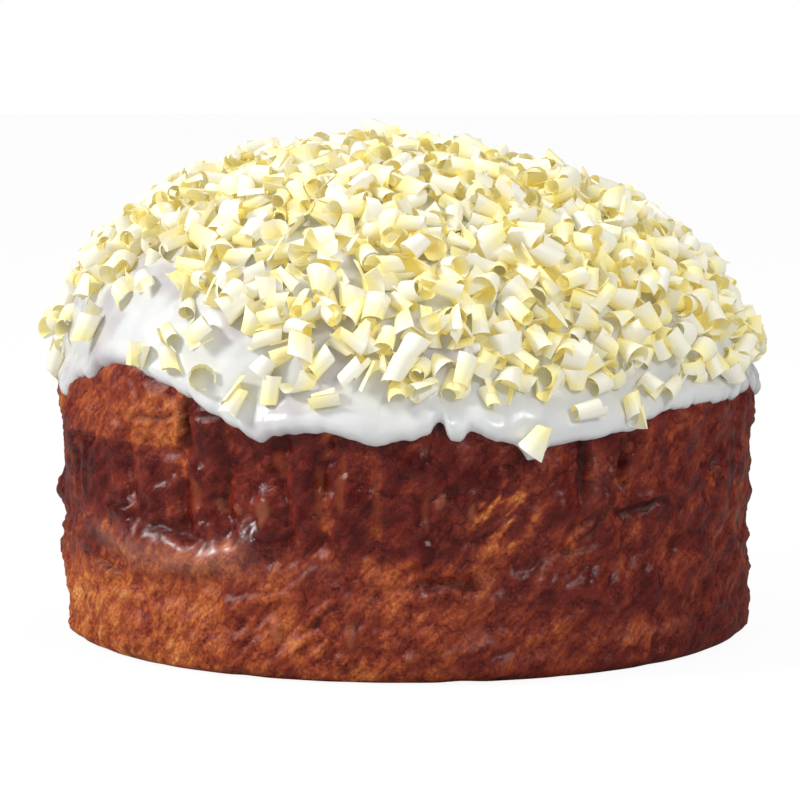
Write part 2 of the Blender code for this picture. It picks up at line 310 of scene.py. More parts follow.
def make_crust_material():
    made, tree, shader = new_material("browned crust")
    place = add_node(tree, "ShaderNodeTexCoord").outputs["Object"]
    along = stored(tree, "fibre_place", "Vector")
    fine, broad = mottled(tree, 1050.0, 90.0)
    fibres, threads = mottled(tree, 620.0, 210.0, along)
    lace = noise_at(tree, place, 260.0, 9.0, 0.74)
    vein = maths(tree, "ABSOLUTE", maths(tree, "SUBTRACT", noise_at(tree, place, 70.0, 5.0, 0.62), 0.5))
    vein = maths(tree, "MULTIPLY", maths(tree, "SUBTRACT", 0.030, vein), 33.0)
    vein = maths(tree, "MULTIPLY", maths(tree, "MAXIMUM", vein, 0.0), broad)
    baked_and_shaded = stored(tree, "baked_and_shaded")
    spread = lifted(tree, 0.0, lace, 1.0)
    spread = lifted(tree, spread, fine, 1.2)
    spread = lifted(tree, spread, fibres, 1.3)
    spread = lifted(tree, spread, threads, 0.5)
    torn = maths(tree, "MAXIMUM", maths(tree, "SUBTRACT", 0.98, baked_and_shaded), 0.10)
    tone = maths(tree, "MULTIPLY_ADD", spread, torn, maths(tree, "SUBTRACT", 1.0, baked_and_shaded))
    tone = maths(tree, "MULTIPLY_ADD", vein, -0.25, tone)
    colour = ramp(tree, tone, CRUST_STOPS)
    colour = blend_colours(tree, stored(tree, "blister"), colour, (0.380, 0.110, 0.050, 1))
    colour = blend_colours(tree, stored(tree, "peeled"), colour, (0.260, 0.050, 0.014, 1))
    # Painted shade: creases and folds are painted nearly black, where shade falls in them.
    colour = blend_colours(tree, stored(tree, "painted_crease_shade"), colour, (0.012, 0.002, 0.002, 1))
    tree.links.new(colour, shader.inputs["Base Color"])
    rough = maths(tree, "MULTIPLY_ADD", tone, 0.40, 0.12)
    rough = maths(tree, "MULTIPLY_ADD", fine, 0.12, rough)
    rough = maths(tree, "MULTIPLY_ADD", stored(tree, "painted_crease_shade"), 0.5, rough)
    tree.links.new(rough, shader.inputs["Roughness"])
    tree.links.new(stored(tree, "glaze"), shader.inputs["Coat Weight"])
    shader.inputs["Coat Roughness"].default_value = 0.38
    shader.inputs["Coat IOR"].default_value = 1.9
    height = maths(tree, "MULTIPLY_ADD", fibres, 0.60, maths(tree, "MULTIPLY", fine, 0.60))
    height = maths(tree, "MULTIPLY_ADD", lace, 1.0, height)
    height = maths(tree, "MULTIPLY", height, maths(tree, "SUBTRACT", torn, 0.04))
    height = maths(tree, "MULTIPLY_ADD", threads, 0.25, height)
    height = maths(tree, "MULTIPLY_ADD", vein, -0.15, height)
    bump_into(tree, shader, height, 0.75 * MM, 0.8)
    shader.inputs["Specular IOR Level"].default_value = 0.38
    return made


CRUST = make_crust_material()

# %% [markdown]
# The icing is sugar and egg white that was poured while thin, so it is smooth and glossy, and a cool
# off-white. Where the layer is thin, the crust below shows through it as a mauve grey.


# %% The icing's material
def make_icing_material():
    made, tree, shader = new_material("white icing")
    fine, broad = mottled(tree, 500.0, 60.0)
    colour = blend_colours(tree, broad, (0.69, 0.71, 0.73, 1), (0.78, 0.785, 0.77, 1))
    colour = blend_colours(tree, stored(tree, "thin"), colour, (0.50, 0.46, 0.49, 1))
    tree.links.new(colour, shader.inputs["Base Color"])
    tree.links.new(maths(tree, "MULTIPLY_ADD", fine, 0.14, 0.17), shader.inputs["Roughness"])
    bump_into(tree, shader, fine, 0.10 * MM, 0.6)
    shader.inputs["Subsurface Weight"].default_value = 0.15
    shader.inputs["Subsurface Radius"].default_value = (1.0, 0.9, 0.8)
    shader.inputs["Subsurface Scale"].default_value = 1.5 * MM
    return made


ICING = make_icing_material()

# %% [markdown]
# White chocolate is an ivory yellow that lets a little light through, and a faint painted glow stands in
# for that. The hollow of a curl looks much yellower than its outside, as light bounces about in it, and
# so do the gaps deep in the heap. The mesh marks both, and there the colour is painted a saturated
# yellow, as painted bounce light, with a stronger painted glow. Each curl takes its shade of ivory from
# its batch.


# %% The white chocolate's material
def make_chocolate_material():
    made, tree, shader = new_material("white chocolate")
    fine, broad = mottled(tree, 900.0, 160.0)
    outside = blend_colours(tree, stored(tree, "batch"), (0.90, 0.88, 0.74, 1), (0.91, 0.90, 0.84, 1))
    hollow, deep = stored(tree, "hollow"), stored(tree, "deep")
    # Painted bounce light: the hollows of the curls and the gaps deep in the heap are painted a saturated
    # yellow.
    colour = blend_colours(tree, hollow, outside, (0.96, 0.88, 0.42, 1))
    colour = blend_colours(tree, deep, colour, (0.95, 0.79, 0.18, 1))
    colour = blend_colours(tree, maths(tree, "MULTIPLY", broad, 0.12), colour, (0.94, 0.85, 0.42, 1))
    tree.links.new(colour, shader.inputs["Base Color"])
    tree.links.new(maths(tree, "MULTIPLY_ADD", fine, 0.20, 0.30), shader.inputs["Roughness"])
    bump_into(tree, shader, fine, 0.08 * MM, 0.5)
    # Painted glow: a faint yellow emission stands in for light passing through the chocolate, stronger in
    # the hollows and deep in the heap.
    painted_glow_share = maths(tree, "MULTIPLY_ADD", maths(tree, "MAXIMUM", hollow, deep), 0.65, 0.35)
    glow = blend_colours(tree, painted_glow_share, (0, 0, 0, 1), (1.0, 0.86, 0.34, 1))
    tree.links.new(glow, shader.inputs["Emission Color"])
    shader.inputs["Emission Strength"].default_value = 0.13
    shader.inputs["Specular IOR Level"].default_value = 0.35
    return made


CHOCOLATE = make_chocolate_material()

# %% [markdown]
# ## The crust
#
# The loaf is a turned shape, so Spin makes its mesh: a half outline with close rows on the side, where
# the crust shows, and wide rows under the icing and the foot. Rays from the core then lay every point
# on the loaf's real skin.

# %% Spin the loaf and lay it on the skin
ROUND_STEPS = 720
SIDE_STEP = 0.85


def loaf_outline():
    """Points (radius, height) in millimetres from the foot's middle up the side to the dome's top."""
    radius, top = SKIN_RADIUS / MM, LOAF_HIGH.z / MM
    points = [(0, 0), (radius * 0.5, 0), (radius * 0.85, 0), (radius * 0.92, 0)]
    points += [(radius * 0.94 + step, 0.02) for step in range(0, 5)]
    rows = round(84 / SIDE_STEP)
    points += [(radius, 0.4 + 84 * row / rows) for row in range(rows + 1)]
    for step in range(1, 11):
        angle = math.pi / 2 * step / 11
        points.append((radius * math.cos(angle), 84.4 + (top - 84.4) * math.sin(angle)))
    return [*points, (0, top)]


def spun(outline, steps):
    """The outline turned once round the core's axis, as a closed shell."""
    mesh = bmesh.new()
    verts = [mesh.verts.new((CORE.x + r * MM, CORE.y, z * MM)) for r, z in outline]
    edges = [mesh.edges.new(pair) for pair in zip(verts, verts[1:], strict=False)]
    bmesh.ops.spin(
        mesh,
        geom=verts + edges,
        cent=CORE,
        axis=(0, 0, 1),
        angle=2 * math.pi,
        steps=steps,
        use_merge=True,
    )
    bmesh.ops.remove_doubles(mesh, verts=mesh.verts, dist=0.001 * MM)
    bmesh.ops.recalc_face_normals(mesh, faces=mesh.faces)
    return mesh


crust_mesh = spun(loaf_outline(), ROUND_STEPS)
crust_normals = []
for vertex in crust_mesh.verts:
    place, normal = skin(bearing_of(vertex.co), polar_of(vertex.co))
    vertex.co = place
    crust_normals.append(normal)
crust_normals = np.array(crust_normals)
crust_points = np.array([vertex.co for vertex in crust_mesh.verts])
print("crust points:", len(crust_points))

# %% [markdown]
# The relief is worked out on the side laid flat: across is the distance round the loaf, in millimetres
# from the front, and up is the height. Each mark on the crust is a line through a few named places. A
# crease is a narrow dent with raised lips, a ridge is a soft swelling, and a fold is a dent above a
# swelling, where the skin slipped down over itself.

# %% The side laid flat, and marks along lines
FULL_TURN = 200.0 * math.pi
ACROSS = 100.0 * np.arctan2(crust_points[:, 0] - CORE.x, -(crust_points[:, 1] - CORE.y))
UP = crust_points[:, 2] / MM
# The marks are drawn on a side that is itself a little warped, so that none of them runs straight.
WARPED_ACROSS = ACROSS + 1.6 * random_field(crust_points, 7 * MM, 2, 9.1)
WARPED_UP = UP + 1.3 * random_field(crust_points, 7 * MM, 2, 6.6)


class Mark:
    """How far each crust point is from a line of (bearing in degrees, height in millimetres) places."""

    def __init__(self, places):
        corners = [(100.0 * math.radians(bearing), height) for bearing, height in places]
        offset = (WARPED_ACROSS - corners[0][0] + FULL_TURN / 2) % FULL_TURN - FULL_TURN / 2
        around = offset + corners[0][0]
        self.distance = np.full(len(ACROSS), 1e3)
        self.side = np.zeros(len(ACROSS))
        along = np.zeros(len(ACROSS))
        for number, (start, end) in enumerate(zip(corners, corners[1:], strict=False)):
            run = np.subtract(end, start)
            offset = np.stack([around - start[0], WARPED_UP - start[1]], axis=1)
            share = np.clip(offset @ run / (run @ run), 0, 1)
            gap = offset - share[:, None] * run
            distance = np.hypot(gap[:, 0], gap[:, 1])
            nearer = distance < self.distance
            self.distance[nearer] = distance[nearer]
            along[nearer] = (number + share[nearer]) / (len(corners) - 1)
            turn = gap[:, 1] * abs(run[0]) - gap[:, 0] * run[1] * np.sign(run[0] or 1)
            self.side[nearer] = np.sign(turn[nearer])
        self.fading = np.sin(np.pi * np.clip(along, 0.02, 0.98)) ** 0.6

    def crease(self, depth, width):
        dent = hump(self.distance, 0, width)
        lips = 0.4 * hump(self.distance, 2.2 * width, 1.1 * width)
        return depth * self.fading * (lips - dent)

    def ridge(self, height, width):
        return height * self.fading * hump(self.distance, 0, width)

    def fold(self, depth, width):
        above = -hump(self.distance, 0, 0.8 * width) * (self.side > 0)
        below = 0.9 * hump(self.distance, 1.2 * width, 1.3 * width) * (self.side <= 0)
        below -= 0.6 * hump(self.distance, 0, 0.4 * width) * (self.side <= 0)
        return depth * self.fading * (above + below)

    # How strongly a crease or fold is painted nearly black, as painted shade.
    def painted_crease_shade(self, width):
        return self.fading * hump(self.distance, 0, width)


# %% [markdown]
# Three bands run round the side. The top one rose over the mould's rim, and hangs over it in a ledge.
# Below it the paper's pleats pressed dark, smooth pillows into the dough, with lighter valleys between.
# Near the foot the skin is rough and porous. Random fields vary each band, so no two stretches match.

# %% Where the icing begins
SAMPLES = 80


def sample_number(bearing):
    """Which of the even bearings round the frame is nearest to this one."""
    return round(bearing / (2 * math.pi) * SAMPLES) % SAMPLES


def edge_samples():
    """The lowest height of the frame's icing at even bearings, in millimetres."""
    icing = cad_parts["icing"].data
    lowest = np.full(SAMPLES, 1e3)
    for vertex in icing.vertices:
        number = sample_number(bearing_of(vertex.co))
        lowest[number] = min(lowest[number], vertex.co.z / MM)
    return lowest


EDGE = edge_samples()
print("the icing ends", EDGE.min().round(1), "to", EDGE.max().round(1), "mm up")

# %% The bands: ledge, pillows and foot
round_it = np.arange(-SAMPLES // 2, SAMPLES // 2 + 1)
edge_line = np.interp(ACROSS, round_it * FULL_TURN / SAMPLES, EDGE[round_it % SAMPLES])
slow = random_field(crust_points, 45 * MM, 2, 3.1)
lumps = random_field(crust_points, 15 * MM, 3, 7.7)
small_lumps = random_field(crust_points, 5 * MM, 3, 1.3)
grit = random_field(crust_points, 2.0 * MM, 2, 5.9)

slant = (ACROSS - 0.8 * UP) / 100.0
FIBRE_PLACE = np.stack([0.1 * np.sin(slant), -0.1 * np.cos(slant), UP * MM * 0.55], axis=1)
wrinkles = random_field(FIBRE_PLACE, 3.4 * MM, 2, 2.2)
turn = ACROSS / 100.0
UPRIGHT_PLACE = np.stack([0.1 * np.sin(turn), -0.1 * np.cos(turn), UP * MM * 0.18], axis=1)
upright = random_field(UPRIGHT_PLACE, 4.5 * MM, 2, 8.4)

ledge_height = 62.0 + 3.0 * slow + 34 * fade(ACROSS, -68, -58) * (1 - fade(ACROSS, 125, 145))
over_ledge = fade(UP, ledge_height - 0.7, ledge_height + 0.7)
on_side = fade(UP, 0.6, 4.0) * (1 - fade(UP, 84, 90))
pillow_band = fade(UP, 34 + 6 * slow, 42 + 6 * slow) * (1 - over_ledge)

PLEAT_DICE = random.Random(21)
# The pleats that the front shows: bearing in degrees, and how deep, from 0 to 1. The others are random.
PLEATS = [(-66, 0.6), (-49, 0.6), (-37.3, 1.0), (-28.8, 0.9), (-19.6, 0.9), (-12.6, 1.0), (-5, 0.7)]
PLEATS += [(3, 0.4), (11, 0.3), (19, 0.3), (27.5, 0.6), (36, 0.7), (46, 0.4), (57, 0.7), (67, 0.5)]
while PLEATS[-1][0] < 282:
    PLEATS.append((PLEATS[-1][0] + PLEAT_DICE.uniform(6.5, 10.5), PLEAT_DICE.uniform(0.35, 1.0)))
valleys = np.zeros(len(ACROSS))
sides = np.zeros(len(ACROSS))
for bearing, depth in PLEATS:
    centre = 100 * math.radians(bearing) + 3.5 * lumps
    offset = (WARPED_ACROSS - centre + FULL_TURN / 2) % FULL_TURN - FULL_TURN / 2
    valleys = np.maximum(valleys, depth * hump(offset, 0, PLEAT_DICE.uniform(1.3, 2.2)))
    sides = np.maximum(sides, depth * np.clip(1 - np.abs(offset) / 6.5, 0, 1) ** 2)
valleys *= pillow_band * fade(small_lumps + lumps, -0.35, 0.25)
sides *= pillow_band

fine_relief = (0.85 - 0.40 * pillow_band) * small_lumps
fine_relief += (0.60 - 0.30 * pillow_band) * wrinkles + 0.7 * upright * pillow_band
fine_relief += (0.32 - 0.20 * pillow_band) * grit
relief = 1.9 * lumps + fine_relief
relief += 0.55 * over_ledge * (0.6 + slow) - 0.75 * hump(UP, ledge_height - 0.9, 0.9) * (0.8 + slow)
relief += 0.8 * pillow_band - 2.9 * sides
relief -= 0.8 * hump(UP, 33 + 5 * slow, 3.5)

# %% [markdown]
# These are the marks that the front of the loaf shows, and a seeded loop adds others of the same kinds
# round the back: upright creases below the icing, a pinched knot with folds that run into it, slipped
# folds across the lower half, blisters of thin skin, and slits.

# %% The marks on the front
CREASES = (
    (((-37, 82), (-37.5, 72), (-37, 63)), 1.9, 1.1),
    (((-29, 72), (-33, 70.5), (-36, 71)), 0.7, 0.7),
    (((-50, 70), (-45, 69), (-39, 71)), 0.8, 0.8),
    (((27.5, 68), (28.5, 58), (28, 49)), 1.6, 1.1),
    (((35, 66), (36, 58), (34.5, 51)), 2.2, 1.5),
    (((5.5, 76), (5.2, 70), (5.5, 67)), 1.4, 0.9),
    (((72, 36), (68, 26), (62, 15)), 1.2, 0.8),
    (((32, 47), (28, 42), (25, 41)), 0.9, 0.9),
    (((33, 46), (36, 44), (42, 47), (47, 47)), 1.0, 0.9),
    (((32, 47), (31, 42), (28, 38)), 0.7, 0.8),
    (((-9, 24), (-13, 18), (-16, 14)), 0.5, 0.7),
    (((-14, 12), (-12, 7), (-9, 3)), 0.6, 0.6),
    (((49, 38), (52, 36), (55, 37)), 0.5, 0.6),
    (((60, 60), (58, 54), (60, 46)), 0.8, 1.0),
)
RIDGES = (
    (((-62, 38), (-54, 34), (-44, 32), (-34, 31), (-28, 33)), 2.8, 4.2),
    (((-35, 32), (-28, 34.5), (-23, 36)), 1.8, 5.0),
    (((-26, 29), (-18, 31), (-8, 32)), 0.6, 2.2),
    (((33, 11), (44, 10), (56, 12)), 0.8, 1.8),
    (((30, 49), (31, 55), (30, 62)), 0.9, 2.2),
    (((60, 44), (62, 38), (61, 33)), 1.2, 2.6),
    (((5, 9), (10, 11), (14, 12)), 0.9, 1.2),
    (((22, 40), (21, 30), (20, 20)), 0.4, 1.5),
    (((12, 38), (11, 28), (10, 18)), 0.4, 1.5),
)
FOLDS = (
    (((-50, 42), (-40, 38), (-30, 37)), 0.9, 2.2),
    (((-1, 26), (6, 27.5), (13, 25)), 1.5, 1.8),
    (((-63, 27), (-57, 24.5), (-53, 25.5)), 1.3, 1.2),
    (((-56, 44.5), (-52, 43.5), (-49, 44.5)), 1.2, 0.9),
    (((-40, 24), (-28, 22), (-18, 25)), 0.4, 1.2),
    (((3, 8.5), (8, 10), (13, 12)), 0.8, 0.9),
    (((18, 33), (26, 35), (33, 38)), 0.5, 1.4),
)
BLISTERS = (
    ((-23, 46), 2.2, 5.0),
    ((-31, 47), 1.6, 2.4),
    ((-27.5, 46.5), 1.3, 1.8),
    ((-21, 13), 1.6, 3.2),
    ((-8.5, 14), 1.8, 4.2),
    ((-52, 19), 1.4, 2.0),
    ((67, 38), 2.8, 6.0),
    ((5, 50), 1.2, 2.6),
    ((-68, 55), 0.7, 1.6),
    ((10, 47), 1.0, 2.2),
    ((1, 8), 1.4, 1.6),
)
STRIPS = (
    ((-35.5, 50), 1.6, 5.5),
    ((-13.5, 52), 1.5, 9.0),
    ((-10.0, 54), 1.2, 9.0),
    ((-20.5, 59), 1.5, 4.5),
    ((-5.0, 50), 1.4, 8.0),
    ((3.0, 48), 1.0, 7.0),
)
print("marks:", len(CREASES), len(RIDGES), len(FOLDS), len(BLISTERS), len(STRIPS))


# %% The marks round the back, and all of them together
def back_marks():
    dice = random.Random(77)
    creases, ridges, folds, blisters = [], [], [], []
    for number in range(13):
        bearing = 84 + 192 * (number + dice.uniform(0.1, 0.9)) / 13
        top, drop = dice.uniform(58, 66), dice.uniform(8, 18)
        lean = dice.uniform(-3, 3)
        creases.append((((bearing, top), (bearing + lean, top - drop)), dice.uniform(0.7, 1.5), 0.9))
        low = dice.uniform(8, 36)
        reach, rise = dice.uniform(4, 11), dice.uniform(-4, 4)
        line = ((bearing - reach, low), (bearing, low - 1.5), (bearing + reach, low + rise))
        (folds if number % 2 else ridges).append((line, dice.uniform(0.6, 1.5), dice.uniform(1.2, 2.6)))
        blister = (bearing + 5, dice.uniform(6, 54))
        blisters.append((blister, dice.uniform(1.0, 2.2), dice.uniform(1.6, 5.0)))
    return creases, ridges, folds, blisters


def spot(centre, half_across, half_up):
    """1 inside an oval spot, and 0 outside it."""
    across = (WARPED_ACROSS - 100 * math.radians(centre[0]) + FULL_TURN / 2) % FULL_TURN - FULL_TURN / 2
    return 1 - fade(np.hypot(across / half_across, (WARPED_UP - centre[1]) / half_up), 0.65, 1.15)


# How strongly each point of a crease or fold is painted nearly black, as painted shade.
painted_crease_shade = np.zeros(len(ACROSS))
ridged = np.zeros(len(ACROSS))
blistered = np.zeros(len(ACROSS))
peeled = np.zeros(len(ACROSS))
more_creases, more_ridges, more_folds, more_blisters = back_marks()
for line, depth, width in [*CREASES, *more_creases]:
    mark = Mark(line)
    relief += 1.4 * mark.crease(depth, 0.85 * width)
    painted_crease_shade = np.maximum(painted_crease_shade, min(depth / 1.3, 1) * mark.painted_crease_shade(0.8 * width))
for line, height, width in [*RIDGES, *more_ridges]:
    rise = 1.2 * Mark(line).ridge(height, width)
    relief += rise
    ridged += rise
relief -= 0.7 * np.clip(ridged / 2.5, 0, 1) * fine_relief
for line, depth, width in [*FOLDS, *more_folds]:
    mark = Mark(line)
    relief += 1.3 * mark.fold(depth, width)
    painted_crease_shade = np.maximum(painted_crease_shade, min(depth / 2.0, 1) * mark.painted_crease_shade(0.45 * width))
for centre, across, up in [*BLISTERS, *more_blisters]:
    inside = spot(centre, across, up)
    relief += 0.9 * inside
    blistered = np.maximum(blistered, inside)
for centre, across, up in STRIPS:
    inside = spot(centre, across, up)
    relief -= 0.35 * inside
    peeled = np.maximum(peeled, inside)

# %% Push the crust points out by the relief
relief *= on_side * (1 - 0.8 * fade(UP, edge_line - 4, edge_line + 1.5))
relief -= 0.9 * fade(UP, edge_line + 1.5, edge_line + 5)
crust_points += crust_normals * (relief * MM)[:, None]
for vertex, place in zip(crust_mesh.verts, crust_points, strict=True):
    vertex.co = place
print("relief from", round(relief.min(), 2), "to", round(relief.max(), 2), "mm")
crust_tree = BVHTree.FromBMesh(crust_mesh)
loaf_piece = finish_piece("crust", crust_mesh, CRUST)
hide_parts("loaf")

# %% [markdown]
# The stored values drive the material. The pillows are the darkest. Valleys, torn patches above the
# ledge and the foot are paler and duller, most of all at the front left corner of the foot. Small lumps,
# wrinkles and ridges are painted paler where they stand out and darker in their dips, as painted light
# and shade, and creases and folds are painted nearly black, as painted shade. The glaze is a thin coat
# on the ridges, which stood out of the mould and shine the most.

# %% How hard each spot was baked, with painted light and shade
# Towards the right the pillows are paler and the rest of the side is darker. The foot is palest at the
# front left corner and darker at the right.
to_right = fade(ACROSS, -10, 40) * (1 - fade(ACROSS, 140, 200))
baked_and_shaded = 0.61 + 0.16 * pillow_band * (1 - 0.45 * to_right) - 0.05 * over_ledge
baked_and_shaded += 0.05 * to_right * (1 - pillow_band)
low_band = 1 - fade(UP, 12, 34)
baked_and_shaded -= low_band * (0.06 + 0.24 * hump(ACROSS, -105, 55) - 0.10 * hump(ACROSS, 110, 60))
baked_and_shaded -= 0.35 * spot((15, 45), 9, 10) * fade(wrinkles + 0.5 * grit, 0.10, 0.45)
baked_and_shaded -= 0.24 * valleys
baked_and_shaded -= 0.15 * spot((-43, 66), 12, 11) * (1 - 0.6 * pillow_band)
# Painted light and shade: small lumps, wrinkles and ridges are paler where they stand out and darker in
# their dips. The broad lumps are darker where they stand out.
baked_and_shaded += 0.15 * lumps - 0.10 * small_lumps - 0.12 * wrinkles - 0.05 * ridged
set_values(loaf_piece, "baked_and_shaded", np.clip(baked_and_shaded, 0, 1))
set_values(loaf_piece, "blister", 0.5 * blistered)
set_values(loaf_piece, "peeled", 0.6 * peeled)
set_values(loaf_piece, "glaze", np.clip(0.32 * ridged - 0.9 * painted_crease_shade, 0, 1))
set_values(loaf_piece, "painted_crease_shade", np.clip(0.85 * painted_crease_shade, 0, 1))
set_values(loaf_piece, "fibre_place", FIBRE_PLACE)

# %% [markdown]
# ## The icing
#
# The icing is a shell that ends in a rounded bead. Its edge follows the frame's icing, with finer waves
# and a few narrow drips. The rows nearest to the edge are set by their distance from it, so that the
# bead is even however the edge wanders.


# %% Where the icing ends
# Each drip: its bearing and half width in degrees, and how far it runs, in millimetres.
DRIPS = (
    (-74, 1.6, 3.0),
    (-62, 2.5, 1.0),
    (-24, 2.2, 1.6),
    (-4, 5.0, 1.0),
    (7.3, 1.5, 3.2),
    (4.8, 1.0, -2.2),
    (19.5, 1.8, 3.2),
    (14, 3.0, -0.8),
    (48, 1.8, 1.2),
    (76, 2.0, -2.0),
    (99, 1.4, 3.0),
    (131, 2.0, 4.0),
    (158, 1.2, 3.0),
    (-167, 1.8, 3.5),
    (-140, 1.3, 3.0),
    (-112, 2.2, 2.5),
)


def icing_end(bearing):
    """The height of the icing's edge, in millimetres."""
    degrees = math.degrees(bearing)
    position = (degrees / 360 * SAMPLES) % SAMPLES
    first = int(position)
    share = position - first
    share = share * share * (3 - 2 * share)
    height = EDGE[first % SAMPLES] * (1 - share) + EDGE[(first + 1) % SAMPLES] * share
    around = Vector((math.sin(bearing), -math.cos(bearing), 0))
    height += 0.9 * noise.noise(around * 14) + 0.45 * noise.noise(around * 40)
    for centre, width, run in DRIPS:
        offset = (degrees - centre + 180) % 360 - 180
        height -= run * math.exp(-((offset / width) ** 4))
    return height


# %% Lay the icing's rows
ICING_STEPS = 720
NEAR_EDGE = [0.0, 0.12, 0.35, 0.7, 1.2, 1.8, 2.5, 3.3] + [3.3 + 0.85 * k for k in range(1, 26)]
TO_TOP = 26
TOP_POLAR = 0.012
# In millimetres: from the core to the dome's skin, and how far the icing's two sides lie in the crust.
SKIN_REACH = 110
OUTSIDE_IN = 0.35
INSIDE_IN = 1.2


def polar_at_height(bearing, height):
    """The polar angle at which the skin is this high, in millimetres."""
    polar = math.atan2(SKIN_RADIUS, height * MM - CORE.z)
    for _ in range(3):
        place, _ = skin(bearing, polar)
        polar += (place.z - height * MM) / (place - CORE).length
    return polar


def icing_thickness(place, bearing, from_edge):
    """Soft folds, a bead at the edge, and a round end, in millimetres."""
    folds = noise.fractal(place / (22 * MM), 1.0, 2.0, 2)
    hang = noise.noise(Vector((math.sin(bearing) * 9, -math.cos(bearing) * 9, place.z / (30 * MM))))
    full = 2.3 + 1.3 * folds + 0.7 * hang + 0.55 * noise.noise(place / (6 * MM))
    full += 0.8 * math.exp(-(((from_edge - 3.0) / 2.6) ** 2))
    near = min(from_edge / 2.6, 1)
    return max(full, 1.0) * math.sqrt(1 - (1 - near) ** 2)


def make_icing_mesh():
    rows = len(NEAR_EDGE) + TO_TOP
    ends = [icing_end(2 * math.pi * step / ICING_STEPS) for step in range(ICING_STEPS)]
    outline = [(0, -9)] + [(20 + k, -9) for k in (0, 40, 70)] + [(95, -8)]
    outline += [(96 - k * 0.01, k) for k in range(rows)] + [(0, rows)]
    mesh = spun(outline, ICING_STEPS)
    polars = [polar_at_height(2 * math.pi * step / ICING_STEPS, end) for step, end in enumerate(ends)]
    for vertex in mesh.verts:
        row = vertex.co.z / MM
        bearing = bearing_of(vertex.co)
        end = polars[round(bearing / (2 * math.pi) * ICING_STEPS) % ICING_STEPS]
        if row < -0.5:
            spread = math.hypot(vertex.co.x - CORE.x, vertex.co.y - CORE.y) / (95 * MM)
            place, normal = skin(bearing, end * min(spread, 1))
            vertex.co = place - normal * INSIDE_IN * MM
            continue
        number = round(row)
        if number < len(NEAR_EDGE):
            from_edge = NEAR_EDGE[number]
            polar = end - from_edge / SKIN_REACH
        else:
            last = end - NEAR_EDGE[-1] / SKIN_REACH
            share = (number - len(NEAR_EDGE) + 1) / TO_TOP
            polar = last + (TOP_POLAR - last) * share
            from_edge = 100.0
        if math.hypot(vertex.co.x - CORE.x, vertex.co.y - CORE.y) < 0.01 * MM:
            polar = 0.0
        place, normal = skin(bearing, max(polar, 0.0))
        thick = icing_thickness(place, bearing, from_edge)
        vertex.co = place + normal * (thick - OUTSIDE_IN) * MM
    bmesh.ops.recalc_face_normals(mesh, faces=mesh.faces)
    return mesh


icing_mesh = make_icing_mesh()
ICING_TREE = BVHTree.FromBMesh(icing_mesh)
icing_places = [vertex.co.copy() for vertex in icing_mesh.verts]
icing_piece = finish_piece("icing_coat", icing_mesh, ICING)
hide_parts("icing")
thin_field = random_field(icing_places, 24 * MM, 3, 4.4)
thin_spots = fade(thin_field, 0.15, 0.6) * 0.7
set_values(icing_piece, "thin", thin_spots)

# %% [markdown]
# ## White chocolate curls
#
# A curl is a thin strip that a blade pushed up off a block, so it rolled as it came. Each one starts as
# a small grid, which is rolled about an axis with its own radius, turn, taper and slant, and then given
# a wall by Solidify. Four kinds cover all of them: tight rolls, open curls, horns and bent flakes.

# %% The four kinds of curl
# For each kind: turn in degrees, radius, width, how much one end narrows, and how much the tip does.
CURL_KINDS = {
    "tight_rolls": ((370, 500), (2.3, 3.1), (5.8, 8.6), (0.0, 0.3), (0.0, 0.3)),
    "open_curls": ((220, 350), (2.6, 3.8), (5.5, 8.2), (0.0, 0.4), (0.0, 0.4)),
    "horns": ((220, 360), (2.7, 3.9), (6.5, 9.0), (0.5, 0.9), (0.1, 0.6)),
    "bent_flakes": ((90, 190), (3.2, 5.0), (5.0, 7.8), (0.0, 0.5), (0.2, 0.8)),
}
CURL_SHARES = {"tight_rolls": 0.27, "open_curls": 0.38, "horns": 0.22, "bent_flakes": 0.13}
WALL = 0.5


class Curl:
    """One curl's sizes in millimetres, and the shape that they give."""

    def __init__(self, kind, dice):
        turn, radius, width, narrow, tip = (dice.uniform(*limits) for limits in CURL_KINDS[kind])
        self.kind = kind
        self.turn = math.radians(turn)
        self.radius, self.width, self.narrow, self.tip = radius, width, narrow, tip
        self.slant = dice.uniform(-0.5, 0.5)
        self.helix = dice.uniform(-1.2, 1.2)
        self.winding = dice.uniform(0.16, 0.30)

    def roll(self, along, across):
        """Where the flat strip's point (0 to 1, -0.5 to 0.5) lies once rolled about the Z axis."""
        angle = self.turn * along + self.slant * across
        radius = self.radius * (1 - self.winding * along * self.turn / (2 * math.pi))
        radius = radius * (1 + self.narrow * across)
        width = self.width * (1 - self.tip * along)
        height = width * across + self.helix * angle
        return np.stack([radius * np.cos(angle), radius * np.sin(angle), height], axis=-1)


def curl_mesh(curl):
    """The curl about its own middle, as a closed wall, and which of its points face the hollow."""
    mesh = bmesh.new()
    steps = max(5, round(math.degrees(curl.turn) / 30))
    bmesh.ops.create_grid(mesh, x_segments=steps, y_segments=1, size=0.5)
    middle = curl.roll(np.linspace(0, 1, 30), np.zeros(30)).mean(axis=0)
    for vertex in mesh.verts:
        vertex.co = Vector(curl.roll(vertex.co.x + 0.5, vertex.co.y) - middle) * MM
    bmesh.ops.solidify(mesh, geom=mesh.faces[:], thickness=WALL * MM)
    bmesh.ops.recalc_face_normals(mesh, faces=mesh.faces)
    mesh.normal_update()
    axis = Vector((-middle[0], -middle[1], 0)) * MM
    hollow = [float((vertex.co - axis).xy.dot(vertex.normal.xy) < 0) for vertex in mesh.verts]
    return mesh, hollow


sample = curl_mesh(Curl("tight_rolls", random.Random(1)))[0]
print("a tight roll has", len(sample.faces), "faces")
sample.free()

